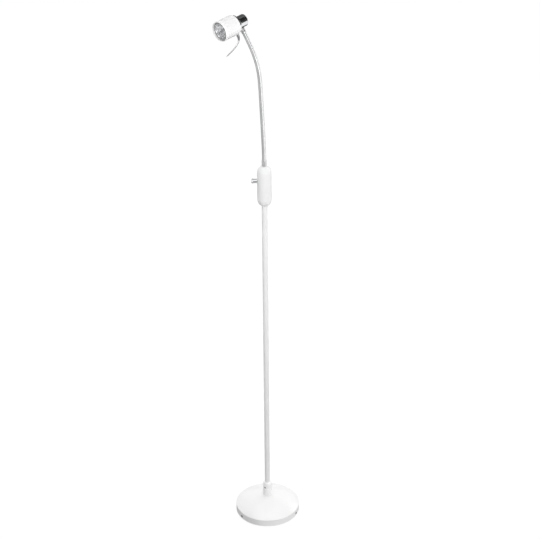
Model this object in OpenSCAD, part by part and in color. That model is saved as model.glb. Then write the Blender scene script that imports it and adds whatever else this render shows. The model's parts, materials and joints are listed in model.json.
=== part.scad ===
// Floor lamp: round domed base, slim pole, capsule-shaped switch housing with
// a side knob, flexible neck and a small spot head with an aiming handle.
// Millimetres. Origin: centre of the base, on the floor. +Z is up.
// The neck leans towards +X; the head looks mostly towards +Y.

/* [Base] */
// Diameter of the base
base_d = 200; // [190:1:220]
// Height of the upright rim of the base
rim_h = 22.4; // [21:0.2:23]
// Height that the dome would reach at its centre
dome_h = 54.6; // [54:0.2:58]
// Sheet thickness of the base cover
cover_t = 1.5; // [1.2:0.1:1.8]
// Height of the rim screws above the floor
rim_screw_z = 8.5; // [8:0.5:10]

/* [Pole] */
// Outer diameter of the pole
pole_d = 16; // [15:0.5:17]
// Wall thickness of the pole
pole_t = 1.2; // [1:0.1:1.5]
// Diameter of the socket that holds the pole
socket_d = 29.4; // [29:0.2:31]
// Diameter of the locking collar on the socket
collar_d = 28; // [27.4:0.2:28.6]

/* [Switch housing] */
// Height of the lower end of the housing
housing_z = 1075; // [900:5:1200]
// Diameter of the housing
housing_d = 41; // [41:0.5:46]
// Length of the housing
housing_l = 127; // [127:1:140]
// Direction of the knob around the pole, from +X
knob_az = 34; // [0:1:90]
// Diameter of the knob at its waist
knob_d = 12; // [11.5:0.5:13]
// Length of the knob
knob_l = 15.5; // [14:0.5:18]

/* [Neck] */
// Outer diameter of the flexible neck
neck_d = 12; // [12:0.5:13]
// Length of one link of the neck
link_l = 32; // [28:1:36]

/* [Head] */
// Turn of the head about the end of the neck, from the plane of the neck
head_turn = 76; // [-160:1:160]
// Outer diameter of the shade
shade_d = 57.8; // [57:0.2:60]
// Diameter of the rear barrel
barrel_d = 34; // [33:0.5:36]

/* [Hidden] */
$fn = 96;
e = 0.01;
// the base
base_r = base_d / 2;
cap_s = dome_h - rim_h;
cap_r = (base_r * base_r + cap_s * cap_s) / (2 * cap_s);
cap_z = dome_h - cap_r;
seat_r = socket_d / 2 + 1;
seat_z = cap_z + sqrt(cap_r * cap_r - seat_r * seat_r);
pad_h = 1;
screw_az = [69, 189, 309];
inlet_az = -90;
inlet_z = 9;
// the pole
pole_r = pole_d / 2;
pole_z0 = 62;
socket_z1 = 80.5;
shoulder_z = 91;
collar_z1 = 103;
collar_screw_az = 90;
collar_screw_z = 85.5;
// the housing
hr = housing_d / 2;
hz0 = housing_z + hr;
hz1 = housing_z + housing_l - hr;
cut_z = housing_z + housing_l - 1;
floor_z = housing_z + 17;
ceil_z = housing_z + housing_l - 12;
knob_z = housing_z + 79;
screw_z = [housing_z + 29, housing_z + 99];
pole_z1 = floor_z + 7;
// the neck: lean of each link from the upright, and the length of each
neck_r = neck_d / 2;
neck_z = cut_z + 19;
lean = [0, 2, 2.5, 3, 3, 3, 3, 4, 9, 18, 26, 31, 31.5];
seg = [for (k = [0:12]) k == 0 ? link_l / 2 : k == 12 ? 9 : link_l];
function dir(a) = [sin(a), 0, cos(a)];
function hinge(k) = k == 0 ? [0, 0, neck_z] : hinge(k - 1) + seg[k - 1] * dir(lean[k - 1]);
ball_r = 4.7;
cup_r = 5;
cup_drop = 1;
shoulder = 2.6;
lead_r = 2.2;
// the head: its frame has the pivot of the swivel as origin, x forwards, z along the neck
pivot = hinge(13) + 32.5 * dir(lean[12]);
sr = shade_d / 2;
br = barrel_d / 2;
boss_z = -(br + 1.5);
shade_x0 = 19;
shade_x1 = 66;
bezel_x1 = 74.3;
// the lamp: where its base starts, and the ledge in the front ring that its rim comes level with
lamp_x = 34;
ledge_x = 67.4;
spigot_r = 5;
flange_r = sr - 3.4;
root_z = -(sr + 0.2);
root_x = 23.4;

// ---------- shared shapes ----------

// children's +Z points outwards at azimuth az and height z
module radial(az, z) {
    rotate([0, 0, az]) translate([0, 0, z]) rotate([0, 90, 0]) children();
}

// children's +Z points forwards along the head
module along_x(x) {
    translate([x, 0, 0]) rotate([0, 90, 0]) children();
}

module tube(ro, ri, z0, z1) {
    difference() {
        translate([0, 0, z0]) cylinder(r = ro, h = z1 - z0);
        translate([0, 0, z0 - 1]) cylinder(r = ri, h = z1 - z0 + 2);
    }
}

module hex_nut(rc, ri, z0, z1) {
    difference() {
        translate([0, 0, z0]) cylinder(r = rc, h = z1 - z0, $fn = 6);
        translate([0, 0, z0 - 1]) cylinder(r = ri, h = z1 - z0 + 2);
    }
}

module switch_frame() {
    rotate([0, 0, knob_az]) children();
}

module head_frame() {
    translate(pivot) rotate([0, lean[12], 0]) rotate([0, 0, head_turn]) children();
}

// ---------- base ----------

module felt_pad() {
    color("dimgray") cylinder(r = base_r - 5, h = pad_h);
}

module base_weight() {
    wr = base_r - cover_t - 0.5;
    color("darkslategray") difference() {
        rotate_extrude() polygon([
            [5.4, pad_h], [wr, pad_h], [wr, rim_h - 6], [wr - 4, rim_h - 4],
            [26, rim_h - 1], [17, rim_h + 5], [17, seat_z - cover_t], [5.4, seat_z - cover_t]
        ]);
        // counterbore for the nut and its washer
        translate([0, 0, -1]) cylinder(r = 15, h = 13);
        // channel for the mains lead, wider behind the grommet
        rotate([0, 0, inlet_az]) {
            translate([0, -4, -1]) cube([base_r, 8, 14]);
            translate([wr - 8, -7.5, -1]) cube([20, 15, 18]);
        }
        for (a = screw_az) radial(a, rim_screw_z) translate([0, 0, wr - 15]) cylinder(r = 2, h = 20);
    }
}

module dome(cut) {
    intersection() {
        translate([0, 0, cap_z]) sphere(r = cap_r - cut);
        translate([0, 0, pad_h - (cut > 0 ? 5 : 0)])
            cylinder(r = base_r - cut, h = seat_z - cut - pad_h + (cut > 0 ? 5 : 0));
    }
}

module base_cover() {
    color("white") difference() {
        dome(0);
        dome(cover_t);
        cylinder(r = 5.4, h = 100);
        for (a = screw_az) radial(a, rim_screw_z) {
            translate([0, 0, base_r - 6]) cylinder(r = 2.1, h = 10);
            translate([0, 0, base_r - 1.7]) cylinder(r1 = 2.1, r2 = 4.1, h = 2);
        }
        radial(inlet_az, inlet_z) translate([0, 0, base_r - 10]) cylinder(r = 4.6, h = 20);
    }
}

module rim_screws() {
    color("black") for (a = screw_az) radial(a, rim_screw_z) difference() {
        union() {
            translate([0, 0, base_r - 16]) cylinder(r = 1.95, h = 14.5);
            translate([0, 0, base_r - 1.6]) cylinder(r1 = 1.95, r2 = 3.65, h = 1.7);
        }
        translate([0, 0, base_r - 1.3]) cylinder(r = 1.5, h = 3, $fn = 6);
    }
}

module cord_grommet() {
    color("black") radial(inlet_az, inlet_z) difference() {
        union() {
            translate([0, 0, base_r - 3.9]) cylinder(r = 6.2, h = 1.9);
            translate([0, 0, base_r - 2.2]) cylinder(r = 4.5, h = 2.5);
            translate([0, 0, base_r + 0.2]) cylinder(r = 6.5, h = 1.8);
        }
        translate([0, 0, base_r - 10]) cylinder(r = 3.1, h = 20);
    }
}

module threaded_nipple() {
    color("goldenrod") tube(5, 3.4, 4.5, pole_z0 - 0.5);
}

module base_washer() {
    color("silver") tube(13, 5.2, 10, 12);
}

module base_nut() {
    color("goldenrod") hex_nut(9.8, 5.05, 5, 10);
}

// ---------- pole ----------

module pole_socket() {
    color("white") difference() {
        rotate_extrude() polygon([
            [0, seat_z], [socket_d / 2, seat_z], [socket_d / 2, socket_z1 - 1],
            [socket_d / 2 - 1, socket_z1], [0, socket_z1]
        ]);
        translate([0, 0, pole_z0]) cylinder(r = pole_r + 0.05, h = 60);
        translate([0, 0, 0]) cylinder(r = 5.05, h = 80);
    }
}

module locking_collar() {
    cr = collar_d / 2;
    neck_in = pole_r + 0.6;
    color("white") difference() {
        rotate_extrude() polygon([
            [pole_r + 0.05, socket_z1], [cr, socket_z1],
            // rounded shoulder down from the pole
            for (a = [0:10:90]) [neck_in + (cr - neck_in) * cos(a), shoulder_z + (collar_z1 - shoulder_z) * sin(a)],
            [pole_r + 0.05, collar_z1]
        ]);
        radial(collar_screw_az, collar_screw_z) cylinder(r = 2.5, h = 30);
    }
}

module collar_set_screw() {
    color("black") radial(collar_screw_az, collar_screw_z) difference() {
        translate([0, 0, pole_r + 0.1]) cylinder(r = 2.45, h = collar_d / 2 - pole_r - 0.6);
        translate([0, 0, collar_d / 2 - 3.5]) cylinder(r = 1.4, h = 5, $fn = 6);
    }
}

module pole_tube() {
    color("white") tube(pole_r, pole_r - pole_t, pole_z0, pole_z1);
}

module pole_lead() {
    color("gray") translate([0, 0, 13]) cylinder(r = 3, h = knob_z - 12 - 13);
}

module pole_lock_nut() {
    color("silver") hex_nut(12, pole_r + 0.05, floor_z + 0.02, floor_z + 6);
}

// ---------- switch housing ----------

module capsule(r) {
    translate([0, 0, hz0]) sphere(r = r);
    translate([0, 0, hz0]) cylinder(r = r, h = hz1 - hz0);
    translate([0, 0, hz1]) sphere(r = r);
}

// one half of the housing; side is +1 for the front and -1 for the rear
module housing_half(side) {
    boss_x = -9;
    switch_frame() difference() {
        union() {
            difference() {
                intersection() {
                    capsule(hr);
                    translate([-50, side > 0 ? 0 : -60, housing_z - 1]) cube([100, 60, cut_z - housing_z + 1]);
                }
                intersection() {
                    capsule(hr - 2);
                    translate([-50, -50, floor_z]) cube([100, 100, ceil_z - floor_z]);
                }
            }
            for (z = screw_z) intersection() {
                translate([boss_x, 0, z]) rotate([side > 0 ? -90 : 90, 0, 0]) cylinder(r = 3.6, h = 30);
                translate([0, 0, housing_z]) cylinder(r = hr - 1, h = 200);
            }
        }
        // holes for the pole, the neck and the bush of the switch
        translate([0, 0, housing_z - 10]) cylinder(r = pole_r + 0.05, h = 40);
        translate([0, 0, ceil_z - 10]) cylinder(r = 6.05, h = 40);
        radial(0, knob_z) cylinder(r = 4.6, h = 40);
        for (z = screw_z) translate([boss_x, 0, z]) rotate([90, 0, 0]) {
            if (side > 0) translate([0, 0, -11]) cylinder(r = 1.5, h = 12);
            if (side < 0) {
                translate([0, 0, -1]) cylinder(r = 1.6, h = 40);
                translate([0, 0, 13.9]) cylinder(r = 3, h = 20);
            }
        }
    }
}

module housing_front() {
    color("white") housing_half(1);
}

module housing_rear() {
    color("white") housing_half(-1);
}

module housing_screws() {
    color("silver") switch_frame() for (z = screw_z) translate([-9, 0, z]) rotate([90, 0, 0]) difference() {
        union() {
            translate([0, 0, -10.5]) cylinder(r = 1.45, h = 24.5);
            translate([0, 0, 13.95]) cylinder(r = 2.7, h = 2.2);
        }
        translate([0, 0, 15.2]) cylinder(r = 1.1, h = 3, $fn = 6);
    }
}

module rotary_switch() {
    color("dimgray") switch_frame() difference() {
        union() {
            translate([-6, -8, knob_z - 12]) cube([16, 16, 24]);
            radial(0, knob_z) translate([0, 0, 9]) cylinder(r = 4.5, h = hr - 9);
        }
        radial(0, knob_z) translate([0, 0, -2]) cylinder(r = 3.05, h = 40);
    }
}

module switch_nut() {
    color("silver") switch_frame() radial(0, knob_z) hex_nut(6.4, 4.55, 14.3, 16.3);
}

module switch_knob() {
    k0 = hr + 0.7;
    k1 = k0 + knob_l;
    kr = knob_d / 2;
    color("gainsboro") switch_frame() difference() {
        radial(0, knob_z) rotate_extrude() polygon([
            [0, k0], [kr + 0.2, k0], [kr, k0 + 3], [kr, k0 + 8], [kr + 0.3, k0 + 11],
            [kr + 0.9, k1 - 2], [kr + 0.7, k1 - 0.8], [kr - 0.1, k1], [0, k1]
        ]);
        radial(0, knob_z) translate([0, 0, k0 - 5]) cylinder(r = 3.02, h = knob_l + 2);
        translate([k0 + 6, 0, knob_z]) rotate([180, 0, 0]) cylinder(r = 1.5, h = 20);
    }
}

module switch_shaft() {
    color("silver") switch_frame() radial(0, knob_z) translate([0, 0, -1]) cylinder(r = 3, h = hr + knob_l - 1.6);
}

module knob_grub_screw() {
    color("black") switch_frame() translate([hr + 6.7, 0, knob_z]) rotate([180, 0, 0]) difference() {
        translate([0, 0, 3.1]) cylinder(r = 1.45, h = knob_d / 2 - 3.3);
        translate([0, 0, knob_d / 2 - 1.4]) cylinder(r = 0.8, h = 3, $fn = 6);
    }
}

// ---------- neck ----------

module neck_lock_nut() {
    color("silver") hex_nut(10, 6.02, ceil_z - 6, ceil_z);
}

module neck_lead() {
    color("gray") translate([0, 0, knob_z + 12]) cylinder(r = 2, h = neck_z - knob_z - 13);
}

module neck_lower_ferrule() {
    color("gainsboro") difference() {
        rotate_extrude() polygon([
            [3, ceil_z - 9], [6, ceil_z - 9], [6, cut_z], [6.8, cut_z], [6.8, neck_z - 3],
            [6.4, neck_z - 1.5], [6.4, neck_z], [3, neck_z]
        ]);
    }
}

// one link along +Z from its lower hinge, with a ball below and a cup on top
module link(l, ball, cup) {
    z0 = ball ? shoulder : 0;
    difference() {
        union() {
            translate([0, 0, z0]) cylinder(r = neck_r, h = l - z0 - (cup ? cup_drop : 0));
            if (ball) sphere(r = ball_r);
        }
        if (cup) translate([0, 0, l]) sphere(r = cup_r);
        translate([0, 0, -10]) cylinder(r = lead_r, h = l + 20);
    }
}

module neck_part(k) {
    color("gainsboro") translate(hinge(k)) rotate([0, lean[k], 0]) link(seg[k], k > 0, k < 12);
}

module neck_stub() neck_part(0);
module neck_link_01() neck_part(1);
module neck_link_02() neck_part(2);
module neck_link_03() neck_part(3);
module neck_link_04() neck_part(4);
module neck_link_05() neck_part(5);
module neck_link_06() neck_part(6);
module neck_link_07() neck_part(7);
module neck_link_08() neck_part(8);
module neck_link_09() neck_part(9);
module neck_link_10() neck_part(10);
module neck_link_11() neck_part(11);
module neck_link_12() neck_part(12);

module neck_upper_ferrule() {
    top = 32.5 + boss_z - 0.2;
    color("gainsboro") translate(hinge(13)) rotate([0, lean[12], 0]) rotate_extrude() polygon([
        [lead_r, 0.02], [6.4, 0.02], [6.4, 1.5], [6.8, 3], [6.8, top - 0.6], [6.2, top],
        [spigot_r, top], [spigot_r, 27.3], [lead_r, 27.3]
    ]);
}

// ---------- head ----------

module swivel_washer() {
    color("silver") head_frame() tube(8.5, 5.05, -11.35, -10.55);
}

module swivel_nut() {
    color("goldenrod") head_frame() hex_nut(8, 5.02, -10.5, -6);
}

module head_barrel() {
    color("gainsboro") head_frame() difference() {
        union() {
            difference() {
                along_x(-17.3) cylinder(r = br, h = 34.3);
                along_x(-18.3) cylinder(r = br - 2, h = 32.3);
            }
            // flat seat for the swivel, inside and outside
            intersection() {
                along_x(-13.3) cylinder(r = br - 1, h = 26.3);
                translate([-20, -20, -40]) cube([40, 40, 40 - 11.5]);
            }
            translate([0, 0, boss_z]) cylinder(r = 7.5, h = 6);
        }
        translate([0, 0, -30]) cylinder(r = spigot_r + 0.05, h = 20);
        along_x(10) cylinder(r = 7, h = 20);
        for (s = [-1, 1]) translate([0, s * 10.5, 0]) along_x(10) cylinder(r = 1.3, h = 20);
    }
}

module barrel_end_cap() {
    color("gainsboro") head_frame() along_x(-19.3) rotate_extrude() polygon([
        [0, 0], [br - 1, 0], [br, 1], [br, 2], [br - 2.05, 2], [br - 2.05, 5], [br - 4, 5], [br - 4, 2], [0, 2]
    ]);
}

module shade_rear_plate() {
    color("gainsboro") head_frame() difference() {
        along_x(0) rotate_extrude() polygon([
            [7, shade_x0 - 2], [br + 0.05, shade_x0 - 2], [br + 0.05, shade_x0 - 6], [flange_r - 0.8, shade_x0 - 6],
            [flange_r, shade_x0 - 5.2], [flange_r, shade_x0], [7, shade_x0]
        ]);
        for (s = [-1, 1]) translate([0, s * 10.5, 0]) along_x(10) cylinder(r = 1.6, h = 20);
    }
}

module shade_tube() {
    color("white") head_frame() difference() {
        along_x(shade_x0) rotate_extrude() difference() {
            union() {
                translate([0, 2]) square([sr - 0.4, shade_x1 - shade_x0 - 2]);
                square([sr - 2.4, 10]);
                translate([sr - 2.4, 2]) circle(r = 2);
            }
            translate([-1, 1.5]) square([sr - 0.9, 100]);
        }
        along_x(10) cylinder(r = 7, h = 20);
        for (s = [-1, 1]) translate([0, s * 10.5, 0]) along_x(10) cylinder(r = 1.6, h = 20);
        translate([root_x, 0, -40]) cylinder(r = 1.7, h = 30);
    }
}

module shade_bezel() {
    color("white") head_frame() along_x(0) rotate_extrude() polygon([
        [25.3, 60], [sr - 2, 60], [sr - 2, shade_x1], [sr, shade_x1], [sr, bezel_x1 - 0.6],
        [sr - 0.5, bezel_x1], [sr - 1.2, bezel_x1], [sr - 1.5, bezel_x1 - 0.5],
        [sr - 1.5, ledge_x], [25.3, ledge_x]
    ]);
}

module shade_screws() {
    color("silver") head_frame() for (s = [-1, 1]) translate([0, s * 10.5, 0]) difference() {
        union() {
            along_x(12) cylinder(r = 1.25, h = 10);
            along_x(21.8) cylinder(r = 2.6, h = 1.6);
        }
        along_x(22.6) cylinder(r = 1, h = 2, $fn = 6);
    }
}

module holder_bracket() {
    color("silver") head_frame() difference() {
        translate([shade_x0 + 1.5, -13.5, -5]) cube([1.2, 27, 10]);
        along_x(10) cylinder(r = 3, h = 20);
        for (s = [-1, 1]) translate([0, s * 10.5, 0]) along_x(10) cylinder(r = 1.6, h = 20);
    }
}

module lamp_holder() {
    color("ivory") head_frame() difference() {
        translate([shade_x0 + 2.7, -7.5, -6.5]) cube([lamp_x - shade_x0 - 3.7, 15, 13]);
        for (s = [-1, 1]) translate([0, 0, s * 2.65]) along_x(25) cylinder(r = 0.9, h = 20);
    }
}

module lamp_pins() {
    color("silver") head_frame() for (s = [-1, 1]) translate([0, 0, s * 2.65]) along_x(26) cylinder(r = 0.75, h = lamp_x - 26);
}

// bell of the reflector: radius against the distance from its neck
function bell(x) = 9 + 14.8 * pow(x / 25, 0.62);

module lamp_reflector() {
    n = 12;
    outer = [for (i = [0:n]) [bell(25 * i / n) + 1.2, lamp_x + 8 + 24 * i / n]];
    inner = [for (i = [n:-1:0]) [bell(25 * i / n), lamp_x + 9.5 + 24 * i / n]];
    color("gainsboro") head_frame() difference() {
        rotate([0, 90, 0]) rotate_extrude() polygon(concat(
            [[0, lamp_x], [8.6, lamp_x], [8.6, lamp_x + 8]], outer, inner, [[0, lamp_x + 9.5]]
        ));
        for (s = [-1, 1]) translate([0, 0, s * 2.65]) along_x(lamp_x - 4) cylinder(r = 0.76, h = 4.1);
    }
}

module lamp_burner() {
    color("lightgray") head_frame() {
        along_x(lamp_x + 9.5) cylinder(r = 4, h = 16.5);
        translate([lamp_x + 26, 0, 0]) sphere(r = 4);
    }
}

module lamp_cover_glass() {
    color("lightblue") head_frame() along_x(lamp_x + 31.4) cylinder(r = 22.6, h = 1);
}

module retaining_ring() {
    color("gray") head_frame() along_x(ledge_x + 0.25) rotate_extrude() polygon([
        [24, 0], [sr - 1.7, 0], [sr - 1.7, 1], [sr - 2, 1.3], [24.3, 1.3], [24, 1]
    ]);
}

// the handle: a tapered curved horn in the head's own upright plane
hp = [[root_x, root_z], [root_x - 0.8, -48.2], [41.6, -57], [89.5, -68.3]];
function bez(t) = pow(1 - t, 3) * hp[0] + 3 * t * pow(1 - t, 2) * hp[1] + 3 * t * t * (1 - t) * hp[2] + pow(t, 3) * hp[3];
function bez_d(t) = 3 * pow(1 - t, 2) * (hp[1] - hp[0]) + 6 * t * (1 - t) * (hp[2] - hp[1]) + 3 * t * t * (hp[3] - hp[2]);
function handle_r(t) = t < 0.3 ? 4.4 - 7 * t : t < 0.96 ? 2.3 - (t - 0.3) : 1.64 - 0.9 * pow((t - 0.96) / 0.04, 2);

module aiming_handle() {
    m = 30;
    n = 20;
    pts = [for (i = [0:m], j = [0:n - 1])
        let (t = i / m, p = bez(t), d = bez_d(t) / norm(bez_d(t)), r = handle_r(t), a = 360 * j / n)
        [p[0] - r * cos(a) * d[1], r * sin(a), p[1] + r * cos(a) * d[0]]];
    faces = concat(
        [[for (j = [0:n - 1]) j]],
        [for (i = [0:m - 1], j = [0:n - 1])
            [i * n + j, (i + 1) * n + j, (i + 1) * n + (j + 1) % n]],
        [for (i = [0:m - 1], j = [0:n - 1])
            [i * n + j, (i + 1) * n + (j + 1) % n, i * n + (j + 1) % n]],
        [[for (j = [n - 1:-1:0]) m * n + j]]
    );
    color("gainsboro") head_frame() polyhedron(points = pts, faces = faces);
}

module handle_stud() {
    color("silver") head_frame() translate([root_x, 0, root_z + 0.02]) cylinder(r = 1.5, h = 6.6);
}

module handle_nut() {
    color("silver") head_frame() translate([root_x, 0, 0]) rotate([0, 0, 30]) hex_nut(3.1, 1.55, 2.3 - sr, 4.8 - sr);
}

// ---------- the pieces ----------

felt_pad();
base_weight();
base_cover();
rim_screws();
cord_grommet();
threaded_nipple();
base_washer();
base_nut();
pole_socket();
locking_collar();
collar_set_screw();
pole_tube();
pole_lead();
pole_lock_nut();
housing_front();
housing_rear();
housing_screws();
rotary_switch();
switch_nut();
neck_lock_nut();
neck_lead();
neck_lower_ferrule();
neck_stub();
switch_knob();
switch_shaft();
knob_grub_screw();
neck_link_01();
neck_link_02();
neck_link_03();
neck_link_04();
neck_link_05();
neck_link_06();
neck_link_07();
neck_link_08();
neck_link_09();
neck_link_10();
neck_link_11();
neck_link_12();
neck_upper_ferrule();
swivel_washer();
swivel_nut();
head_barrel();
barrel_end_cap();
shade_rear_plate();
shade_tube();
shade_bezel();
shade_screws();
holder_bracket();
lamp_holder();
lamp_pins();
lamp_reflector();
lamp_burner();
lamp_cover_glass();
retaining_ring();
aiming_handle();
handle_stud();
handle_nut();
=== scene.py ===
import json
import math

import bmesh
import bpy
from mathutils import Matrix, Vector


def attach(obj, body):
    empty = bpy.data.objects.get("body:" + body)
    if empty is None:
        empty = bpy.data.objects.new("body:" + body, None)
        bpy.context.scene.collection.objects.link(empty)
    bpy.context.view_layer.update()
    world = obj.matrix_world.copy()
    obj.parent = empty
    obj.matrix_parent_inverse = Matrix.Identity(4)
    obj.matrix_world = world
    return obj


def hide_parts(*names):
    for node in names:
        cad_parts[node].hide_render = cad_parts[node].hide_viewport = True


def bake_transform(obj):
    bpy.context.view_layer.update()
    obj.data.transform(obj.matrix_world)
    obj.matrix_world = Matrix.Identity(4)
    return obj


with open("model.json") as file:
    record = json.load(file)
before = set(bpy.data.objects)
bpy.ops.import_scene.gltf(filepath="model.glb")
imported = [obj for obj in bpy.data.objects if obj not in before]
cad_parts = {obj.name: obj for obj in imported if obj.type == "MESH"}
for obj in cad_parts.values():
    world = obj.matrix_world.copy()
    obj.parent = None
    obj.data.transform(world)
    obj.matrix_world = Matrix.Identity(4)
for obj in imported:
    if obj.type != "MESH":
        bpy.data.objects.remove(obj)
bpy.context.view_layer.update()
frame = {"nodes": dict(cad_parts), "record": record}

nodes = frame["nodes"]
MM = 0.001
rad = math.radians


def turn(angle, axis):
    return Matrix.Rotation(rad(angle), 4, axis)


def shift(x, y, z):
    return Matrix.Translation((x * MM, y * MM, z * MM))


SCALE = Matrix.Scale(MM, 4)

# ---------------------------------------------------------------- sizes, in millimetres, as in the CAD

BASE_R, RIM_H, DOME_H, COVER_T, PAD_H = 100.0, 22.4, 54.6, 1.5, 1.0
CAP_R = (BASE_R ** 2 + (DOME_H - RIM_H) ** 2) / (2 * (DOME_H - RIM_H))
CAP_Z = DOME_H - CAP_R
SOCKET_R, SOCKET_Z1, COLLAR_R, SHOULDER_Z, COLLAR_Z1 = 14.7, 80.5, 14.0, 91.0, 103.0
SEAT_R = SOCKET_R + 1
SEAT_Z = CAP_Z + math.sqrt(CAP_R ** 2 - SEAT_R ** 2)
POLE_R, POLE_Z0 = 8.0, 62.0
HOUSE_Z, HOUSE_R, HOUSE_L = 1075.0, 20.5, 127.0
HZ0, HZ1 = HOUSE_Z + HOUSE_R, HOUSE_Z + HOUSE_L - HOUSE_R
CUT_Z, FLOOR_Z, CEIL_Z = HOUSE_Z + HOUSE_L - 1, HOUSE_Z + 17, HOUSE_Z + HOUSE_L - 12
KNOB_AZ, KNOB_Z, KNOB_L = 34.0, HOUSE_Z + 79, 15.5
NECK_Z = CUT_Z + 19
LEAN = [0, 2, 2.5, 3, 3, 3, 3, 4, 9, 18, 26, 31, 31.5]
SEG = [16.0] + [32.0] * 11 + [9.0]
HINGE = [Vector((0, 0, NECK_Z))]
for a, l in zip(LEAN, SEG):
    HINGE.append(HINGE[-1] + l * Vector((math.sin(rad(a)), 0, math.cos(rad(a)))))
END_DIR = Vector((math.sin(rad(LEAN[12])), 0, math.cos(rad(LEAN[12]))))
PIVOT = HINGE[13] + 32.5 * END_DIR
SR, BR, FLANGE_R, BEZEL_X1, LAMP_X, LEDGE_X = 28.9, 17.0, 25.5, 74.3, 34.0, 67.4

UPRIGHT = SCALE
HEAD = shift(*PIVOT) @ turn(LEAN[12], "Y") @ turn(76, "Z") @ SCALE
HEAD_X = HEAD @ turn(90, "Y")
SWITCH = turn(KNOB_AZ, "Z") @ SCALE
KNOB = turn(KNOB_AZ, "Z") @ shift(0, 0, KNOB_Z) @ turn(90, "Y") @ SCALE


def radial(az, z):
    return turn(az, "Z") @ shift(0, 0, z) @ turn(90, "Y") @ SCALE


# ---------------------------------------------------------------- materials


class Mat:
    """A principled material with colour, roughness and relief from noise in the object's own metres."""

    def __init__(self, name):
        self.mat = bpy.data.materials.new(name)
        self.mat.use_nodes = True
        self.tree = self.mat.node_tree
        self.tree.nodes.clear()
        self.out = self.add("ShaderNodeOutputMaterial")
        self.bsdf = self.add("ShaderNodeBsdfPrincipled")
        self.join(self.bsdf, "BSDF", self.out, "Surface")
        self.coords = self.add("ShaderNodeTexCoord")

    def add(self, kind, **values):
        n = self.tree.nodes.new(kind)
        for k, v in values.items():
            setattr(n, k, v)
        return n

    def join(self, a, out, b, inp):
        self.tree.links.new(a.outputs[out], b.inputs[inp])

    def set(self, **values):
        for k, v in values.items():
            self.bsdf.inputs[k.replace("_", " ")].default_value = v
        return self

    def noise(self, scale, detail=3.0, rough=0.5, stretch=None, distortion=0.0):
        n = self.add("ShaderNodeTexNoise")
        n.inputs["Scale"].default_value = scale
        n.inputs["Detail"].default_value = detail
        n.inputs["Roughness"].default_value = rough
        n.inputs["Distortion"].default_value = distortion
        if stretch:
            m = self.add("ShaderNodeMapping")
            m.inputs["Scale"].default_value = stretch
            self.join(self.coords, "Object", m, "Vector")
            self.join(m, "Vector", n, "Vector")
        else:
            self.join(self.coords, "Object", n, "Vector")
        return n

    def colour(self, dark, light, scale, lo=0.35, hi=0.65, **kw):
        n = self.noise(scale, **kw)
        ramp = self.add("ShaderNodeValToRGB")
        ramp.color_ramp.elements[0].position = lo
        ramp.color_ramp.elements[0].color = (*dark, 1)
        ramp.color_ramp.elements[1].position = hi
        ramp.color_ramp.elements[1].color = (*light, 1)
        self.join(n, "Fac", ramp, "Fac")
        self.join(ramp, "Color", self.bsdf, "Base Color")
        return self

    def rough(self, low, high, scale, **kw):
        n = self.noise(scale, **kw)
        r = self.add("ShaderNodeMapRange")
        r.inputs["From Min"].default_value = 0.3
        r.inputs["From Max"].default_value = 0.7
        r.inputs["To Min"].default_value = low
        r.inputs["To Max"].default_value = high
        self.join(n, "Fac", r, "Value")
        self.join(r, "Result", self.bsdf, "Roughness")
        return self

    def relief(self, scale, height, strength=0.5, **kw):
        n = self.noise(scale, **kw)
        b = self.add("ShaderNodeBump")
        b.inputs["Strength"].default_value = strength
        b.inputs["Distance"].default_value = height
        self.join(n, "Fac", b, "Height")
        self.join(b, "Normal", self.bsdf, "Normal")
        return self


M = {}
M["white_coat"] = (
    Mat("white_coat").set(Coat_Weight=0.25, Coat_Roughness=0.12, IOR=1.5)
    .colour((0.835, 0.836, 0.834), (0.865, 0.866, 0.864), 14, detail=4)
    .rough(0.30, 0.42, 60, detail=4)
    .relief(750, 0.00002, 0.35, detail=2).mat
)
# painted light: a lit copy of the white coat, brighter than it, so the parts that carry it read lighter where they
# stand in shade
M["white_coat_lit"] = (
    Mat("white_coat_lit").set(Coat_Weight=0.25, Coat_Roughness=0.12, IOR=1.5)
    .colour((0.93, 0.93, 0.928), (0.96, 0.96, 0.958), 30, detail=4)
    .rough(0.28, 0.40, 80, detail=4)
    .relief(900, 0.00002, 0.3, detail=2).mat
)
M["white_plastic"] = (
    Mat("white_plastic").set(IOR=1.5)
    .colour((0.80, 0.80, 0.805), (0.83, 0.83, 0.835), 22, detail=4)
    .rough(0.32, 0.42, 90, detail=4)
    .relief(2600, 0.00001, 0.35, detail=2).mat
)
M["chrome"] = (
    Mat("chrome").set(Metallic=1.0)
    .colour((0.66, 0.665, 0.68), (0.75, 0.755, 0.765), 45, detail=5)
    .rough(0.05, 0.11, 120, detail=5)
    .relief(1500, 0.000004, 0.12, detail=2).mat
)
M["chrome_coil"] = (
    Mat("chrome_coil").set(Metallic=1.0)
    .colour((0.76, 0.765, 0.775), (0.86, 0.865, 0.87), 70, detail=5)
    .rough(0.13, 0.21, 160, detail=5)
    .relief(2200, 0.000006, 0.12, detail=2).mat
)
# painted shade: a darker copy of chrome for the handle root, standing in for the shade under the back of the lampshade
M["chrome_painted_shade"] = (
    Mat("chrome_painted_shade").set(Metallic=1.0)
    .colour((0.30, 0.302, 0.31), (0.38, 0.382, 0.39), 70, detail=5)
    .rough(0.12, 0.2, 160, detail=5)
    .relief(1500, 0.000004, 0.12, detail=2).mat
)
M["black_screw"] = (
    Mat("black_screw").set(Metallic=0.55)
    .colour((0.012, 0.012, 0.013), (0.035, 0.035, 0.037), 400, detail=4)
    .rough(0.38, 0.55, 500, detail=3)
    .relief(3500, 0.000012, 0.35, detail=2).mat
)
M["black_rubber"] = (
    Mat("black_rubber").set(IOR=1.5)
    .colour((0.016, 0.016, 0.017), (0.035, 0.035, 0.036), 300, detail=4)
    .rough(0.62, 0.8, 350, detail=3)
    .relief(2600, 0.00002, 0.5, detail=3).mat
)
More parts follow.
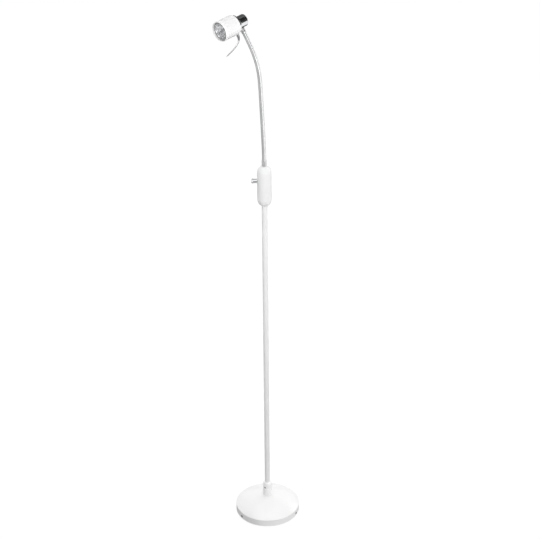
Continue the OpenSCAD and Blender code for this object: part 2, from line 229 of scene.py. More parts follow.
M["felt"] = (
    Mat("felt").set(Sheen_Weight=0.35, Sheen_Roughness=0.6)
    .colour((0.05, 0.05, 0.055), (0.13, 0.13, 0.14), 900, detail=6, rough=0.7)
    .rough(0.85, 0.98, 700, detail=3)
    .relief(1400, 0.00025, 0.8, detail=6, rough=0.7).mat
)
M["iron"] = (
    Mat("iron").set(Metallic=0.7)
    .colour((0.07, 0.07, 0.072), (0.17, 0.165, 0.16), 160, detail=6)
    .rough(0.5, 0.75, 200, detail=4)
    .relief(500, 0.00022, 0.7, detail=6, rough=0.65).mat
)
M["brass"] = (
    Mat("brass").set(Metallic=1.0)
    .colour((0.58, 0.40, 0.16), (0.76, 0.57, 0.27), 120, detail=4)
    .rough(0.22, 0.36, 260, detail=4)
    .relief(1800, 0.00001, 0.25, detail=3).mat
)
M["steel"] = (
    Mat("steel").set(Metallic=1.0)
    .colour((0.42, 0.425, 0.435), (0.58, 0.585, 0.595), 160, detail=4)
    .rough(0.22, 0.36, 260, detail=4)
    .relief(1800, 0.00001, 0.25, detail=3).mat
)
# painted shade: a dark steel for the retaining ring, standing in for the shadow in the gap between the front lip and
# the reflector
M["spring_steel_painted_shade"] = (
    Mat("spring_steel_painted_shade").set(Metallic=0.9)
    .colour((0.33, 0.33, 0.335), (0.52, 0.52, 0.525), 260, detail=4)
    .rough(0.3, 0.45, 300, detail=4)
    .relief(1800, 0.00001, 0.25, detail=3).mat
)
M["cable"] = (
    Mat("cable").set(IOR=1.5)
    .colour((0.70, 0.70, 0.69), (0.80, 0.80, 0.79), 60, detail=4)
    .rough(0.42, 0.55, 160, detail=3)
    .relief(1500, 0.00002, 0.3, detail=2).mat
)
M["switch_body"] = (
    Mat("switch_body").set(IOR=1.5)
    .colour((0.035, 0.035, 0.036), (0.06, 0.06, 0.062), 180, detail=4)
    .rough(0.45, 0.6, 300, detail=3)
    .relief(2200, 0.00001, 0.3, detail=2).mat
)
M["ceramic"] = (
    Mat("ceramic").set(IOR=1.6)
    .colour((0.70, 0.67, 0.60), (0.80, 0.775, 0.71), 200, detail=4)
    .rough(0.3, 0.45, 300, detail=3)
    .relief(1600, 0.00002, 0.35, detail=3).mat
)
M["reflector"] = (
    Mat("reflector").set(Metallic=1.0)
    .colour((0.74, 0.745, 0.76), (0.84, 0.845, 0.85), 110, detail=4)
    .rough(0.06, 0.14, 240, detail=3)
    .relief(1400, 0.00001, 0.15, detail=2).mat
)
M["glass"] = (
    Mat("glass").set(Alpha=0.10, IOR=1.5)
    .colour((0.86, 0.89, 0.90), (0.92, 0.94, 0.95), 40, detail=3)
    .rough(0.02, 0.05, 150, detail=3).mat
)
# painted shade: the clear quartz is coloured dark grey and partly opaque, standing in for the dark that the glass shows
M["quartz_painted_dark"] = (
    Mat("quartz_painted_dark").set(Alpha=0.62, IOR=1.46)
    .colour((0.24, 0.245, 0.25), (0.34, 0.345, 0.35), 150, detail=3)
    .rough(0.04, 0.10, 300, detail=3).mat
)
M["tungsten"] = (
    Mat("tungsten").set(Metallic=1.0)
    .colour((0.12, 0.12, 0.125), (0.22, 0.22, 0.225), 800, detail=3)
    .rough(0.35, 0.5, 900, detail=3).mat
)

# every CAD node starts with the finish of its slot in the record
SLOT_OF = {s["node"]: s["material_slot"] for s in frame["record"]["subparts"]}
for name, obj in nodes.items():
    slot = SLOT_OF.get(name, "steel")
    obj.data.materials.clear()
    obj.data.materials.append(M.get(slot, M["steel"]))

# ---------------------------------------------------------------- mesh helpers


def finish_mesh(name, bm, material, sharp=35, weighted=True):
    bmesh.ops.recalc_face_normals(bm, faces=bm.faces)
    me = bpy.data.meshes.new(name)
    bm.to_mesh(me)
    bm.free()
    me.materials.append(M[material])
    me.shade_smooth()
    me.set_sharp_from_angle(angle=rad(sharp))
    obj = bpy.data.objects.new(name, me)
    bpy.context.scene.collection.objects.link(obj)
    if weighted:
        w = obj.modifiers.new("even", "WEIGHTED_NORMAL")
        w.keep_sharp = True
    return obj


def rounded(points, closed, steps):
    """The outline with each corner (r, h, radius) turned into an arc."""
    out = []
    n = len(points)
    for i, p in enumerate(points):
        P = Vector(p[:2])
        radius = p[2] if len(p) > 2 else 0.0
        if radius <= 0 or (not closed and i in (0, n - 1)):
            out.append(P)
            continue
        A, B = Vector(points[i - 1][:2]) - P, Vector(points[(i + 1) % n][:2]) - P
        la, lb = A.length, B.length
        A.normalize()
        B.normalize()
        half = A.angle(B) / 2
        t = min(radius / math.tan(half), 0.48 * la, 0.48 * lb)
        r = t * math.tan(half)
        c = P + (A + B).normalized() * (r / math.sin(half))
        s, e = P + A * t - c, P + B * t - c
        a0 = math.atan2(s.y, s.x)
        da = (math.atan2(e.y, e.x) - a0 + math.pi) % (2 * math.pi) - math.pi
        for k in range(steps + 1):
            a = a0 + da * k / steps
            out.append(c + Vector((math.cos(a), math.sin(a))) * r)
    return out


def arc(cx, cy, r, a0, a1, n):
    """Points on a circle of the outline, angles in degrees from +r towards +h."""
    return [(cx + r * math.cos(rad(a0 + (a1 - a0) * k / n)), cy + r * math.sin(rad(a0 + (a1 - a0) * k / n))) for k in range(n + 1)]


def lathe(name, outline, place, material, n=96, closed=True, steps=5, sharp=35):
    bm = bmesh.new()
    rings = []
    for p in rounded(outline, closed, steps):
        if p.x < 1e-6:
            rings.append([bm.verts.new(place @ Vector((0, 0, p.y)))])
        else:
            rings.append([bm.verts.new(place @ Vector((p.x * math.cos(2 * math.pi * j / n), p.x * math.sin(2 * math.pi * j / n), p.y))) for j in range(n)])
    for a, b in zip(rings, rings[1:] + ([rings[0]] if closed else [])):
        for j in range(n):
            k = (j + 1) % n
            if len(a) == 1 and len(b) == 1:
                continue
            if len(a) == 1:
                bm.faces.new((a[0], b[j], b[k]))
            elif len(b) == 1:
                bm.faces.new((a[j], b[0], a[k]))
            else:
                bm.faces.new((a[j], b[j], b[k], a[k]))
    return finish_mesh(name, bm, material, sharp)


def cutter(r, h0, h1, place, r2=None, n=40):
    bm = bmesh.new()
    lo = [bm.verts.new(place @ Vector((r * math.cos(2 * math.pi * j / n), r * math.sin(2 * math.pi * j / n), h0))) for j in range(n)]
    rr = r if r2 is None else r2
    hi = [bm.verts.new(place @ Vector((rr * math.cos(2 * math.pi * j / n), rr * math.sin(2 * math.pi * j / n), h1))) for j in range(n)]
    for j in range(n):
        k = (j + 1) % n
        bm.faces.new((lo[j], lo[k], hi[k], hi[j]))
    bm.faces.new(lo[::-1])
    bm.faces.new(hi)
    return finish_mesh("cutter", bm, "steel", weighted=False)


def cut(obj, tools, sharp=35):
    """Cuts the tools out of obj for good, and removes them."""
    kept = [(m.name, m.type) for m in obj.modifiers]
    obj.modifiers.clear()
    for t in tools:
        m = obj.modifiers.new("cut", "BOOLEAN")
        m.operation, m.solver, m.object = "DIFFERENCE", "EXACT", t
    bpy.context.view_layer.update()
    done = bpy.data.meshes.new_from_object(obj.evaluated_get(bpy.context.evaluated_depsgraph_get()))
    obj.modifiers.clear()
    old, obj.data = obj.data, done
    bpy.data.meshes.remove(old)
    for t in tools:
        me = t.data
        bpy.data.objects.remove(t)
        bpy.data.meshes.remove(me)
    mats = [m for m in done.materials if m]
    done.materials.clear()
    done.materials.append(mats[0])
    done.polygons.foreach_set("material_index", [0] * len(done.polygons))
    done.shade_smooth()
    done.set_sharp_from_angle(angle=rad(sharp))
    for name, kind in kept:
        w = obj.modifiers.new(name, kind)
        w.keep_sharp = True
    return obj


def place_piece(obj, body, slot, *replaced):
    if replaced:
        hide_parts(*replaced)
    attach(obj, body)
    return obj


# ---------------------------------------------------------------- base

dome_top = rad(90) - math.asin(SEAT_R / CAP_R)
dome_edge = math.acos(BASE_R / CAP_R)
outer = arc(0, CAP_Z, CAP_R, math.degrees(dome_edge), math.degrees(dome_top), 40)
inner_r = CAP_R - COVER_T
inner_edge = math.acos((BASE_R - COVER_T) / inner_r)
inner_top = math.acos((SEAT_R + 0.5) / inner_r)
inner = arc(0, CAP_Z, inner_r, math.degrees(inner_top), math.degrees(inner_edge), 24)
shell = lathe(
    "base_shell",
    [(BASE_R - COVER_T, PAD_H, 0.3), (BASE_R, PAD_H, 0.5), (*outer[0], 1.2), *outer[1:], (5.4, SEAT_Z), (5.4, SEAT_Z - COVER_T), *inner],
    UPRIGHT, "white_coat", n=144,
)
tools = [cutter(4.6, BASE_R - 10, BASE_R + 10, radial(-90, 9))]
for az in (69, 189, 309):
    tools.append(cutter(2.1, BASE_R - 6, BASE_R + 4, radial(az, 8.5)))
    tools.append(cutter(2.1, BASE_R - 1.7, BASE_R + 0.3, radial(az, 8.5), 4.1))
cut(shell, tools)
place_piece(shell, "stand", "white_coat", "base_cover")

grommet = lathe(
    "inlet_grommet",
    [(3.1, BASE_R - 3.9, 0.5), (6.2, BASE_R - 3.9, 0.5), (6.2, BASE_R - 2.0), (4.5, BASE_R - 2.0), (4.5, BASE_R + 0.2), (6.5, BASE_R + 0.2, 0.2), (6.5, BASE_R + 2, 1.2), (3.1, BASE_R + 2, 0.8)],
    radial(-90, 9), "black_rubber", n=56,
)
place_piece(grommet, "stand", "black_rubber", "cord_grommet")

# ---------------------------------------------------------------- pole and collar

# the cup takes the lit copy of the white coat: painted light
socket = lathe(
    "pole_cup",
    [(5.05, SEAT_Z), (SOCKET_R, SEAT_Z, 0.4), (SOCKET_R, SOCKET_Z1, 0.9), (POLE_R + 0.05, SOCKET_Z1), (POLE_R + 0.05, POLE_Z0), (5.05, POLE_Z0)],
    UPRIGHT, "white_coat_lit", n=80,
)
place_piece(socket, "stand", "white_coat", "pole_socket")

shoulder = [(POLE_R + 0.6 + (COLLAR_R - POLE_R - 0.6) * math.cos(rad(5 * k)), SHOULDER_Z + (COLLAR_Z1 - SHOULDER_Z) * math.sin(rad(5 * k))) for k in range(19)]
# the collar takes the lit copy of the white coat: painted light on its shoulder
collar = lathe(
    "pole_collar",
    [(POLE_R + 0.05, SOCKET_Z1), (COLLAR_R, SOCKET_Z1, 0.4)] + shoulder + [(POLE_R + 0.05, COLLAR_Z1)],
    UPRIGHT, "white_coat_lit", n=80, steps=8,
)
cut(collar, [cutter(2.5, POLE_R - 2, 30, radial(90, 85.5))])
place_piece(collar, "stand", "white_coat", "locking_collar")

pole = lathe(
    "pole_shaft",
    [(POLE_R - 1.2, POLE_Z0), (POLE_R, POLE_Z0, 0.3), (POLE_R, FLOOR_Z + 7, 0.3), (POLE_R - 1.2, FLOOR_Z + 7)],
    UPRIGHT, "white_coat", n=64,
)
place_piece(pole, "stand", "white_coat", "pole_tube")

# ---------------------------------------------------------------- switch housing


def half_housing(name, side):
    """One moulded half of the capsule, with a fine groove where the halves meet."""
    a0 = -math.degrees(math.acos((POLE_R + 0.05) / HOUSE_R))
    a1 = math.degrees(math.asin((CUT_Z - HZ1) / HOUSE_R))
    skin = arc(0, HZ0, HOUSE_R, a0, 0, 20) + arc(0, HZ1, HOUSE_R, 0, a1, 22)
    ri = HOUSE_R - 2
    b0 = math.degrees(math.asin((FLOOR_Z - HZ0) / ri))
    b1 = math.degrees(math.asin((CEIL_Z - HZ1) / ri))
    inside = [(6.05, CUT_Z), (6.05, CEIL_Z)] + arc(0, HZ1, ri, b1, 0, 10) + arc(0, HZ0, ri, 0, b0, 6) + [(POLE_R + 0.05, FLOOR_Z)]
    outline = [(r, h, True) for r, h in skin] + [(r, h, False) for r, h in inside]
    steps = [0, 1.1] + [3.0 + (174.0 * k / 44) for k in range(45)] + [178.9, 180]
    bm = bmesh.new()
    rows = []
    for a in steps:
        edge = 0.28 if a in (0, 180) else 0.0
        t = rad(a if side > 0 else a + 180)
        row = []
        for r, h, skin_point in outline:
            rr = r - (edge if skin_point and r > 9 else 0)
            row.append(bm.verts.new(SWITCH @ Vector((rr * math.cos(t), rr * math.sin(t), h))))
        rows.append(row)
    m = len(outline)
    for a, b in zip(rows, rows[1:]):
        for i in range(m):
            j = (i + 1) % m
            bm.faces.new((a[i], b[i], b[j], a[j]))
    bm.faces.new(rows[0])
    bm.faces.new(rows[-1][::-1])
    return finish_mesh(name, bm, "white_plastic", sharp=30)


for name, side, node in (("housing_half_front", 1, "housing_front"), ("housing_half_rear", -1, "housing_rear")):
    half = half_housing(name, side)
    tools = [cutter(4.6, 10, 40, KNOB)]
    if side < 0:
        for z in (HOUSE_Z + 29, HOUSE_Z + 99):
            tools.append(cutter(3.0, 13.9, 40, turn(KNOB_AZ, "Z") @ shift(-9, 0, z) @ turn(90, "X") @ SCALE))
    cut(half, tools, sharp=30)
    place_piece(half, "stand", "white_plastic", node)

# ---------------------------------------------------------------- knob

k0 = HOUSE_R + 0.7
k1 = k0 + KNOB_L
knob = lathe(
    "knob_turned",
    [(0, k1 - 0.35), (4.3, k1 - 0.35, 0.3), (4.7, k1, 0.3), (6.1, k1, 0.6), (6.9, k1 - 1.6, 0.8), (6.35, k1 - 4.6, 3.0), (6.0, k0 + 6.5, 4.0), (6.05, k0 + 2.6, 2.0), (6.4, k0, 0.4), (3.02, k0), (3.02, k0 + 12.5), (0, k0 + 12.5)],
    KNOB, "chrome", n=72, closed=False,
)
cut(knob, [cutter(1.5, 0, 20, turn(KNOB_AZ, "Z") @ shift(k0 + 6, 0, KNOB_Z) @ turn(180, "X") @ SCALE)])
place_piece(knob, "knob", "chrome", "switch_knob")

# ---------------------------------------------------------------- flexible neck

lower = lathe(
    "neck_foot",
    [(3, CEIL_Z - 9), (6, CEIL_Z - 9), (6, CUT_Z), (6.8, CUT_Z, 0.3), (6.8, NECK_Z - 2.2, 1.2), (6.35, NECK_Z, 0.4), (3, NECK_Z)],
    UPRIGHT, "chrome", n=64,
)
place_piece(lower, "stand", "chrome", "neck_lower_ferrule")

PITCH, COIL_R, AROUND, PER_TURN = 2.6, 5.76, 32, 10
mids = [HINGE[0]] + [(HINGE[k] + HINGE[k + 1]) / 2 for k in range(1, 12)] + [HINGE[13]]


def coil_piece(k, s0):
    """The stretch of the neck from the middle of link k-1 to the middle of link k, as a closed tube with a wound surface."""
    p0, p1, p2 = mids[k - 1], HINGE[k], mids[k]

    def at(t):
        return (1 - t) ** 2 * p0 + 2 * t * (1 - t) * p1 + t * t * p2

    def along(t):
        return (2 * (1 - t) * (p1 - p0) + 2 * t * (p2 - p1)).normalized()

    fine = [at(i / 400) for i in range(401)]
    lengths = [0.0]
    for a, b in zip(fine, fine[1:]):
        lengths.append(lengths[-1] + (b - a).length)
    total = lengths[-1]
    rows = max(8, round(total / PITCH * PER_TURN))
    bm = bmesh.new()
    outer_rows, inner_rows = [], []
    i = 0
    for q in range(rows + 1):
        s = total * q / rows
        while i < 399 and lengths[i + 1] < s:
            i += 1
        t = (i + (s - lengths[i]) / max(lengths[i + 1] - lengths[i], 1e-9)) / 400
        c, d = at(t), along(t)
        u, v = Vector((d.z, 0, -d.x)), Vector((0, 1, 0))
        ring = []
        for j in range(AROUND):
            w = 2 * math.pi * j / AROUND
            ph = 2 * math.pi * (s0 + s) / PITCH - w
            r = COIL_R + 0.09 * math.cos(ph) - 0.02 * math.cos(2 * ph)
            ring.append(bm.verts.new(MM * (c + r * (math.cos(w) * u + math.sin(w) * v))))
        outer_rows.append(ring)
        if q % 10 == 0 or q == rows:
            inner_rows.append([bm.verts.new(MM * (c + 3.0 * (math.cos(2 * math.pi * j / AROUND) * u + math.sin(2 * math.pi * j / AROUND) * v))) for j in range(AROUND)])
    for wall in (outer_rows, inner_rows):
        for a, b in zip(wall, wall[1:]):
            for j in range(AROUND):
                n = (j + 1) % AROUND
                bm.faces.new((a[j], a[n], b[n], b[j]))
    for a, b in ((outer_rows[0], inner_rows[0]), (outer_rows[-1], inner_rows[-1])):
        for j in range(AROUND):
            n = (j + 1) % AROUND
            bm.faces.new((a[j], a[n], b[n], b[j]))
    return finish_mesh("neck_coil_%02d" % k, bm, "chrome_coil", sharp=60, weighted=False), s0 + total


s = 0.0
for k in range(1, 13):
    piece, s = coil_piece(k, s)
    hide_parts(*(["neck_stub"] if k == 1 else []), "neck_link_%02d" % k)
    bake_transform(piece)

NECK_END = shift(*HINGE[13]) @ turn(LEAN[12], "Y") @ SCALE
top = 32.5 - (BR + 1.5) - 0.2
upper = lathe(
    "neck_cap",
    [(2.2, 0.02), (6.35, 0.02, 0.4), (6.8, 2.2, 1.2), (6.8, top, 0.7), (5, top), (5, 27.3, 0.3), (2.2, 27.3)],
    NECK_END, "chrome_coil", n=64,
)
place_piece(upper, "neck_12", "chrome", "neck_upper_ferrule")

# ---------------------------------------------------------------- head

barrel = lathe(
    "barrel_sleeve",
    [(BR, -17.3, 0.25), (BR, 17, 0.35), (7, 17), (7, 14), (BR - 2, 14), (BR - 2, -17.3)],
    HEAD_X, "chrome", n=96,
)
place_piece(barrel, "head", "chrome", "head_barrel")
# painted shade: the swivel boss takes the black screw finish, standing in for the dark reflection and shadow at the
# joint under the barrel
boss = lathe(
    "swivel_boss",
    [(5.05, -(BR + 1.5)), (7.5, -(BR + 1.5), 0.6), (7.5, -13.4), (5.05, -13.4)],
    HEAD, "black_screw", n=64,
)
place_piece(boss, "head", "black_screw")
cap = lathe(
    "barrel_rear_cap",
    [(0, -19.3), (BR, -19.3, 0.8), (BR, -17.34, 0.25), (BR - 2.05, -17.34), (BR - 2.05, -14.3), (BR - 4, -14.3), (BR - 4, -17.3), (0, -17.3)],
    HEAD_X, "chrome", n=96, closed=False,
)
place_piece(cap, "head", "chrome", "barrel_end_cap")
plate = lathe(
    "rear_flange",
    [(7, 17), (BR + 0.05, 17), (BR + 0.05, 13, 0.3), (FLANGE_R, 13, 0.9), (FLANGE_R, 19, 0.2), (7, 19)],
    HEAD_X, "chrome", n=112,
)
place_piece(plate, "head", "chrome", "shade_rear_plate")
tube = lathe(
    "shade_shell",
    [(7, 19), (SR - 0.4, 19, 2.2), (SR - 0.4, 66, 0.35), (SR - 1.9, 66), (SR - 1.9, 20.5), (7, 20.5)],
    HEAD_X, "white_coat", n=112,
)
cut(tube, [cutter(1.7, -40, -20, HEAD @ Matrix.Translation((23.4, 0, 0)))])
place_piece(tube, "head", "white_coat", "shade_tube")
# the front ring takes the lit copy of the white coat: painted light that brightens its shaded inner wall
bezel = lathe(
    "shade_front_ring",
    [(25.3, 60), (SR - 2, 60), (SR - 2, 66.06), (SR, 66.06, 0.4)]
    + [(SR - 1.2 + 1.2 * math.cos(rad(15 * k)), BEZEL_X1 - 3.0 + 3.0 * math.sin(rad(15 * k))) for k in range(7)]
    + [(SR - 1.5, BEZEL_X1 - 0.15), (SR - 1.5, LEDGE_X, 0.3), (25.3, LEDGE_X, 0.2)],
    HEAD_X, "white_coat_lit", n=112,
)
place_piece(bezel, "head", "white_coat", "shade_bezel")
# painted shade: the retaining ring is a wide dark flat ring over the ledge, so the gap between the lip and the
# reflector reads as shadow
ring = lathe(
    "spring_ring",
    [(24, LEDGE_X + 0.25, 0.2), (SR - 1.7, LEDGE_X + 0.25, 0.2), (SR - 1.7, LEDGE_X + 1.55, 0.4), (24, LEDGE_X + 1.55, 0.4)],
    HEAD_X, "spring_steel_painted_shade", n=112,
)
place_piece(ring, "head", "steel", "retaining_ring")


def bell(x):
    return 9 + 14.8 * (x / 25) ** 0.62


def ringed_reflector():
    """The pressed reflector: a bell with shallow rings, and its neck behind."""
    n, rows = 96, 42
    bm = bmesh.new()

    def circle(r, x):
        return [bm.verts.new(HEAD_X @ Vector((r * math.cos(2 * math.pi * j / n), r * math.sin(2 * math.pi * j / n), x))) for j in range(n)]

    mirror = []
    for i in range(rows + 1):
        t = (i / rows) ** 1.25
        wave = 0.07 * math.cos(2 * math.pi * 7 * i / rows) - 0.07 if 0 < i < rows else 0.0
        mirror.append(circle((bell(25 * t) if i else 9.0) + wave, LAMP_X + 9.5 + 24 * t))
    back = [circle(bell(25 * i / 12) + 1.2 if i else 10.2, LAMP_X + 8 + 24 * i / 12) for i in range(12, -1, -1)]
    back += [circle(8.6, LAMP_X + 8), circle(8.6, LAMP_X)]
    for a, b in zip(mirror, mirror[1:]):
        for j in range(n):
            bm.faces.new((a[j], a[(j + 1) % n], b[(j + 1) % n], b[j]))
    for a, b in zip([mirror[-1]] + back, back):
        for j in range(n):
            bm.faces.new((a[j], a[(j + 1) % n], b[(j + 1) % n], b[j]))
    bm.faces.new(mirror[0])
    bm.faces.new(back[-1])
    return finish_mesh("mirror_bowl", bm, "reflector", sharp=40, weighted=False)


place_piece(ringed_reflector(), "head", "reflector", "lamp_reflector")

# the capsule carries the dark-painted quartz: painted shade for what the clear glass shows
burner = lathe(
    "quartz_capsule",
    [(0, LAMP_X + 9.6), (3.2, LAMP_X + 9.6, 0.4), (4.0, LAMP_X + 13, 1.5), (4.0, LAMP_X + 27.1, 2.6), (1.2, LAMP_X + 29.1, 0.8), (0.5, LAMP_X + 29.9, 0.3), (0, LAMP_X + 29.95)],
    HEAD_X, "quartz_painted_dark", n=40, closed=False, sharp=70,
)
place_piece(burner, "head", "glass", "lamp_burner")


def wire(name, points, r, material, n=8):
    """A closed round wire along the points, in the head's millimetres."""
    bm = bmesh.new()
    rows = []
    ref = Vector((0.31, 0.77, 0.55)).normalized()
    for i, p in enumerate(points):
        d = (points[min(i + 1, len(points) - 1)] - points[max(i - 1, 0)]).normalized()
        u = (ref - ref.dot(d) * d).normalized()
        ref = u
        v = d.cross(u)
        rows.append([bm.verts.new(HEAD @ (p + r * (math.cos(2 * math.pi * j / n) * u + math.sin(2 * math.pi * j / n) * v))) for j in range(n)])
    for a, b in zip(rows, rows[1:]):
        for j in range(n):
            bm.faces.new((a[j], a[(j + 1) % n], b[(j + 1) % n], b[j]))
    bm.faces.new(rows[0][::-1])
    bm.faces.new(rows[-1])
    return finish_mesh(name, bm, material, sharp=60, weighted=False)


coil = [Vector((LAMP_X + 10, 0, 2.0)), Vector((LAMP_X + 13, 0, 2.0)), Vector((LAMP_X + 16.5, 0, 1.2))]
for i in range(0, 73):
    a = 2 * math.pi * i / 12
    coil.append(Vector((LAMP_X + 17 + 4.0 * i / 72, 0.85 * math.sin(a), 0.85 * math.cos(a))))
coil += [Vector((LAMP_X + 21.6, 0, 0.2)), Vector((LAMP_X + 21.4, 0, -1.6)), Vector((LAMP_X + 18, 0, -2.2)), Vector((LAMP_X + 10, 0, -2.0))]
place_piece(wire("filament", coil, 0.2, "tungsten"), "head", "steel")

glass = lathe(
    "front_glass",
    [(0, LAMP_X + 31.4), (22.6, LAMP_X + 31.4, 0.15), (22.6, LAMP_X + 32.4, 0.3), (0, LAMP_X + 32.4)],
    HEAD_X, "glass", n=96, closed=False,
)
place_piece(glass, "head", "glass", "lamp_cover_glass")

# the aiming handle: a tapered curved rod with a rounded tip, and a thick root in darker chrome, painted shade for the
# dark under the back of the lampshade
HP = [Vector((23.4, -(SR + 0.2))), Vector((22.6, -48.2)), Vector((41.6, -57)), Vector((89.5, -68.3))]


def handle(name, ts, material, extra=0.0):
    """A stretch of the handle as a closed rod, from the first to the last of ts along its curve."""

    def at(t):
        return (1 - t) ** 3 * HP[0] + 3 * t * (1 - t) ** 2 * HP[1] + 3 * t * t * (1 - t) * HP[2] + t ** 3 * HP[3]

    def along(t):
        return (3 * (1 - t) ** 2 * (HP[1] - HP[0]) + 6 * t * (1 - t) * (HP[2] - HP[1]) + 3 * t * t * (HP[3] - HP[2])).normalized()

    def radius(t):
        if t < 0.3:
            return 4.4 - 7 * t
        if t < 0.988:
            return 2.3 - (t - 0.3)
        return 1.612 * math.sqrt(max(0.0, 1 - ((t - 0.988) / 0.012) ** 2))

    n = 32
    bm = bmesh.new()
    rows = []
    for i, t in enumerate(ts):
        p, d, r = at(t), along(t), radius(t) + extra
        if i == 0 or extra and i == len(ts) - 1:
            r -= 0.35
        rows.append([bm.verts.new(HEAD @ Vector((p.x - r * math.cos(2 * math.pi * j / n) * d.y, r * math.sin(2 * math.pi * j / n), p.y + r * math.cos(2 * math.pi * j / n) * d.x))) for j in range(n)])
    for a, b in zip(rows, rows[1:]):
        for j in range(n):
            bm.faces.new((a[j], a[(j + 1) % n], b[(j + 1) % n], b[j]))
    if ts[-1] > 0.988:
        tip = at(1.0)
        tip_v = bm.verts.new(HEAD @ Vector((tip.x, 0, tip.y)))
        for j in range(n):
            bm.faces.new((rows[-1][j], rows[-1][(j + 1) % n], tip_v))
    else:
        bm.faces.new(rows[-1])
    bm.faces.new(rows[0][::-1])
    return finish_mesh(name, bm, material, sharp=50, weighted=False)


root = handle("handle_root", [0, 0.006] + [0.014 + 0.31 * i / 24 for i in range(25)] + [0.328], "chrome_painted_shade", extra=0.04)
place_piece(root, "head", "chrome")
rod = handle("handle_rod", [0.29 + 0.65 * i / 48 for i in range(49)] + [0.95 + 0.038 * i / 4 for i in range(5)] + [0.988 + 0.012 * math.sin(math.pi / 2 * i / 6) for i in range(1, 6)], "chrome_coil")
place_piece(rod, "head", "chrome", "aiming_handle")

# ---------------------------------------------------------------- camera, in the photo's frame (x right, y away, z up)

TO_MODEL = turn(-146, "Z")
tilt, roll = rad(28.04), rad(-0.50)
right, up, fwd = Vector((1, 0, 0)), Vector((0, math.sin(tilt), math.cos(tilt))), Vector((0, math.cos(tilt), -math.sin(tilt)))
c, s_ = math.cos(roll), math.sin(roll)
r2, u2 = c * right + s_ * up, -s_ * right + c * up
cam_data = bpy.data.cameras.new("camera")
cam_data.sensor_fit = "HORIZONTAL"
cam_data.sensor_width = 36.0
cam_data.lens = 1530.1 * 36 / 540
cam_data.clip_start, cam_data.clip_end = 0.05, 60
cam = bpy.data.objects.new("camera", cam_data)
m = Matrix.Identity(4)
for col, vec in enumerate((r2, u2, -fwd)):
    for row in range(3):
        m[row][col] = vec[row]
m.translation = Vector((0.0141, -3.985, 2.989))
cam.matrix_world = TO_MODEL @ m
bpy.context.scene.collection.objects.link(cam)
bpy.context.scene.camera = cam

# ---------------------------------------------------------------- floor, light and the studio around

scene = bpy.context.scene
scene.view_settings.view_transform = "Standard"
scene.view_settings.look = "None"
world = bpy.data.worlds.new("studio")
scene.world = world
world.use_nodes = True
world.node_tree.nodes["Background"].inputs["Color"].default_value = (1, 1, 1, 1)
world.node_tree.nodes["Background"].inputs["Strength"].default_value = 1.0
world.cycles_visibility.glossy = False
world.cycles_visibility.diffuse = False


def card(name, centre, size, facing, strength, camera=False, diffuse=False, glossy=True, shadow=False, albedo=0.0):
    """A flat stage panel in the photo's frame: centre and size in metres, facing a direction, glowing evenly."""
    me = bpy.data.meshes.new(name)
    w, h = size[0] / 2, size[1] / 2
    me.from_pydata([(-w, -h, 0), (w, -h, 0), (w, h, 0), (-w, h, 0)], [], [(0, 1, 2, 3)])
    mat = bpy.data.materials.new(name)
    mat.use_nodes = True
    mat.cycles.emission_sampling = "AUTO" if diffuse else "NONE"
    t = mat.node_tree
    t.nodes.clear()
    out = t.nodes.new("ShaderNodeOutputMaterial")
    b = t.nodes.new("ShaderNodeBsdfPrincipled")
    b.inputs["Base Color"].default_value = (albedo, albedo, albedo, 1)
    b.inputs["Roughness"].default_value = 1.0
    b.inputs["Specular IOR Level"].default_value = 0.0
    b.inputs["Emission Color"].default_value = (1, 1, 1, 1)
    b.inputs["Emission Strength"].default_value = strength
    t.links.new(b.outputs["BSDF"], out.inputs["Surface"])
    me.materials.append(mat)
    obj = bpy.data.objects.new(name, me)
    z = Vector(facing).normalized()
    q = z.to_track_quat("Z", "Y").to_matrix().to_4x4()
    obj.matrix_world = TO_MODEL @ Matrix.Translation(centre) @ q
    scene.collection.objects.link(obj)
    obj.visible_camera, obj.visible_diffuse, obj.visible_glossy = camera, diffuse, glossy
    obj.visible_transmission, obj.visible_volume_scatter, obj.visible_shadow = False, False, shadow
    return obj


def area(name, loc, target, size, watts, glossy=False):
    data = bpy.data.lights.new(name, "AREA")
    data.shape, data.size, data.size_y, data.energy = "RECTANGLE", size[0], size[1], watts
    obj = bpy.data.objects.new(name, data)
    d = Vector(target) - Vector(loc)
    obj.matrix_world = TO_MODEL @ Matrix.Translation(loc) @ d.to_track_quat("-Z", "Y").to_matrix().to_4x4()
    scene.collection.objects.link(obj)
    obj.visible_glossy = glossy
    obj.visible_camera = False
    return obj


def surround(name, strength, az0, az1, low, high, floor=False, soft=False):
    """A curved panel around the lamp, a sector of floor (radii in m) or of sky (heights in degrees): seen in reflections, or soft light."""
    obj = card(name, (0, 0, 0), (1, 1), (0, 0, 1), strength, diffuse=soft, glossy=not soft)
    cols, rows = max(2, round((az1 - az0) / 7.5)), 6 if floor else 4
    verts = []
    for i in range(rows + 1):
        v = low * (high / low) ** (i / rows) if floor else low + (high - low) * i / rows
        for j in range(cols + 1):
            az = rad(az0 + (az1 - az0) * j / cols)
            r, z = (v, -0.003) if floor else (20 * math.cos(rad(v)), 1.3 + 20 * math.sin(rad(v)))
            verts.append((r * math.cos(az), r * math.sin(az), z))
    me = bpy.data.meshes.new(name + "_shape")
    w = cols + 1
    me.from_pydata(verts, [], [(i * w + j, i * w + j + 1, (i + 1) * w + j + 1, (i + 1) * w + j) for i in range(rows) for j in range(cols)])
    me.materials.append(obj.data.materials[0])
    obj.data = me
    obj.matrix_world = TO_MODEL
    return obj


# the floor that the camera sees
card("floor", (0, 2, 0), (40, 40), (0, 0, 1), 0.89, camera=True, glossy=False, albedo=0.12)
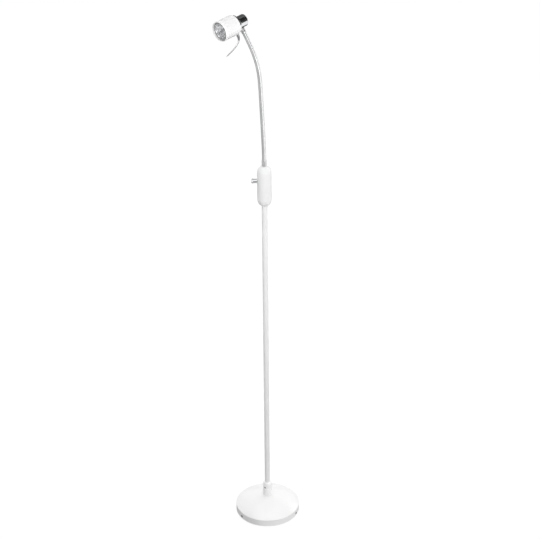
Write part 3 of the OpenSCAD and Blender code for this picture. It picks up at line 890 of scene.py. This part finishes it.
# what the polished parts see: a pale floor, white flats low at both sides and in front, a softbox overhead
for name, strength, az0, az1, r0, r1 in (
        ("right", 1.12, -15, 45, 0.8, 40), ("back_left", 0.41, 105, 165, 2.6, 40), ("left", 0.71, 165, 225, 2.4, 40),
        ("mid_back_left", 0.1, 105, 165, 0.8, 2.6), ("mid_left", 0.22, 165, 225, 0.8, 2.4),
        ("front_left", 0.62, 225, 285, 0.8, 40), ("front_right", 0.7, 285, 345, 0.8, 40),
        ("near_front", 0.41, 165, 345, 0.01, 0.8), ("near_back", 0.63, -15, 165, 0.01, 0.8)):
    surround("seen_floor_" + name, strength, az0, az1, r0, r1, floor=True)
for name, strength, az0, az1, el0, el1 in (
        ("low_right", 0.07, -15, 15, -3.7, 20), ("flat_right", 2.45, 15, 45, -3.7, 8), ("panel_right", 1.96, 15, 45, 8, 38),
        ("low_back", 0.14, 45, 105, -3.7, 20), ("flat_left", 0.87, 105, 225, -3.7, 20), ("low_front", 0.24, 225, 285, -3.7, 20),
        ("flat_front_right", 2.2, 285, 345, -3.7, 20), ("mid_right", 0.03, -15, 15, 20, 60), ("mid_back", 0.12, 45, 105, 20, 60),
        ("mid_left", 0.57, 105, 195, 20, 60), ("box_front_left", 1.14, 195, 255, 20, 60), ("mid_front", 0.78, 255, 315, 20, 60),
        ("top_front", 2.45, 165, 375, 60, 90), ("top_back", 0.2, 15, 165, 60, 90)):
    surround("seen_" + name, strength, az0, az1, el0, el1)
# what lights the painted parts: an even dome, brighter low down in front and at the right, dark low at the left
for name, strength, az0, az1, r0, r1 in (
        ("near_left", 0.36, 195, 255, 0.01, 0.5), ("near_front", 0.68, 255, 345, 0.01, 0.5), ("mid_front", 0.33, 225, 315, 0.5, 2),
        ("far_right", 0.50, -15, 45, 2, 40), ("far_left", 0.36, 105, 225, 2, 40), ("far_front", 2.07, 225, 315, 2, 40),
        ("far_front_right", 0.78, 315, 345, 2, 40)):
    surround("glow_floor_" + name, strength, az0, az1, r0, r1, floor=True, soft=True)
for name, strength, az0, az1, el0, el1 in (
        ("dome", 0.96, 0, 360, 18, 65), ("low_right", 1.39, -15, 135, -3.7, 18), ("low_back_left", 0.33, 135, 165, -3.7, 18),
        ("low_front_left", 0.55, 225, 255, -3.7, 18), ("low_front", 1.2, 255, 345, -3.7, 18), ("top_front", 1.6, 225, 315, 65, 90),
        ("top_left", 0.7, 135, 225, 65, 90), ("top_right", 0.35, -45, 45, 65, 90)):
    surround("glow_" + name, strength, az0, az1, el0, el1, soft=True)
area("back_high", (0, 3.0, 4.0), (0, 0, 0.8), (2.0, 2.0), 30.0)
area("back_left", (-1.8, 1.4, 1.8), (0, 0, 0.8), (1.4, 1.4), 11.7)
area("back_right", (1.8, 1.4, 1.8), (0, 0, 0.8), (1.4, 1.4), 14.0)
area("front_right", (1.8, -2.2, 2.6), (0, 0, 1.2), (1.4, 1.4), 3.6)
area("left_high", (-2.2, -0.4, 2.8), (0, 0, 1.0), (1.4, 1.4), 2.4)
area("near_left", (-0.9, -0.8, 1.9), (0, 0, 0.8), (0.8, 0.8), 1.3)
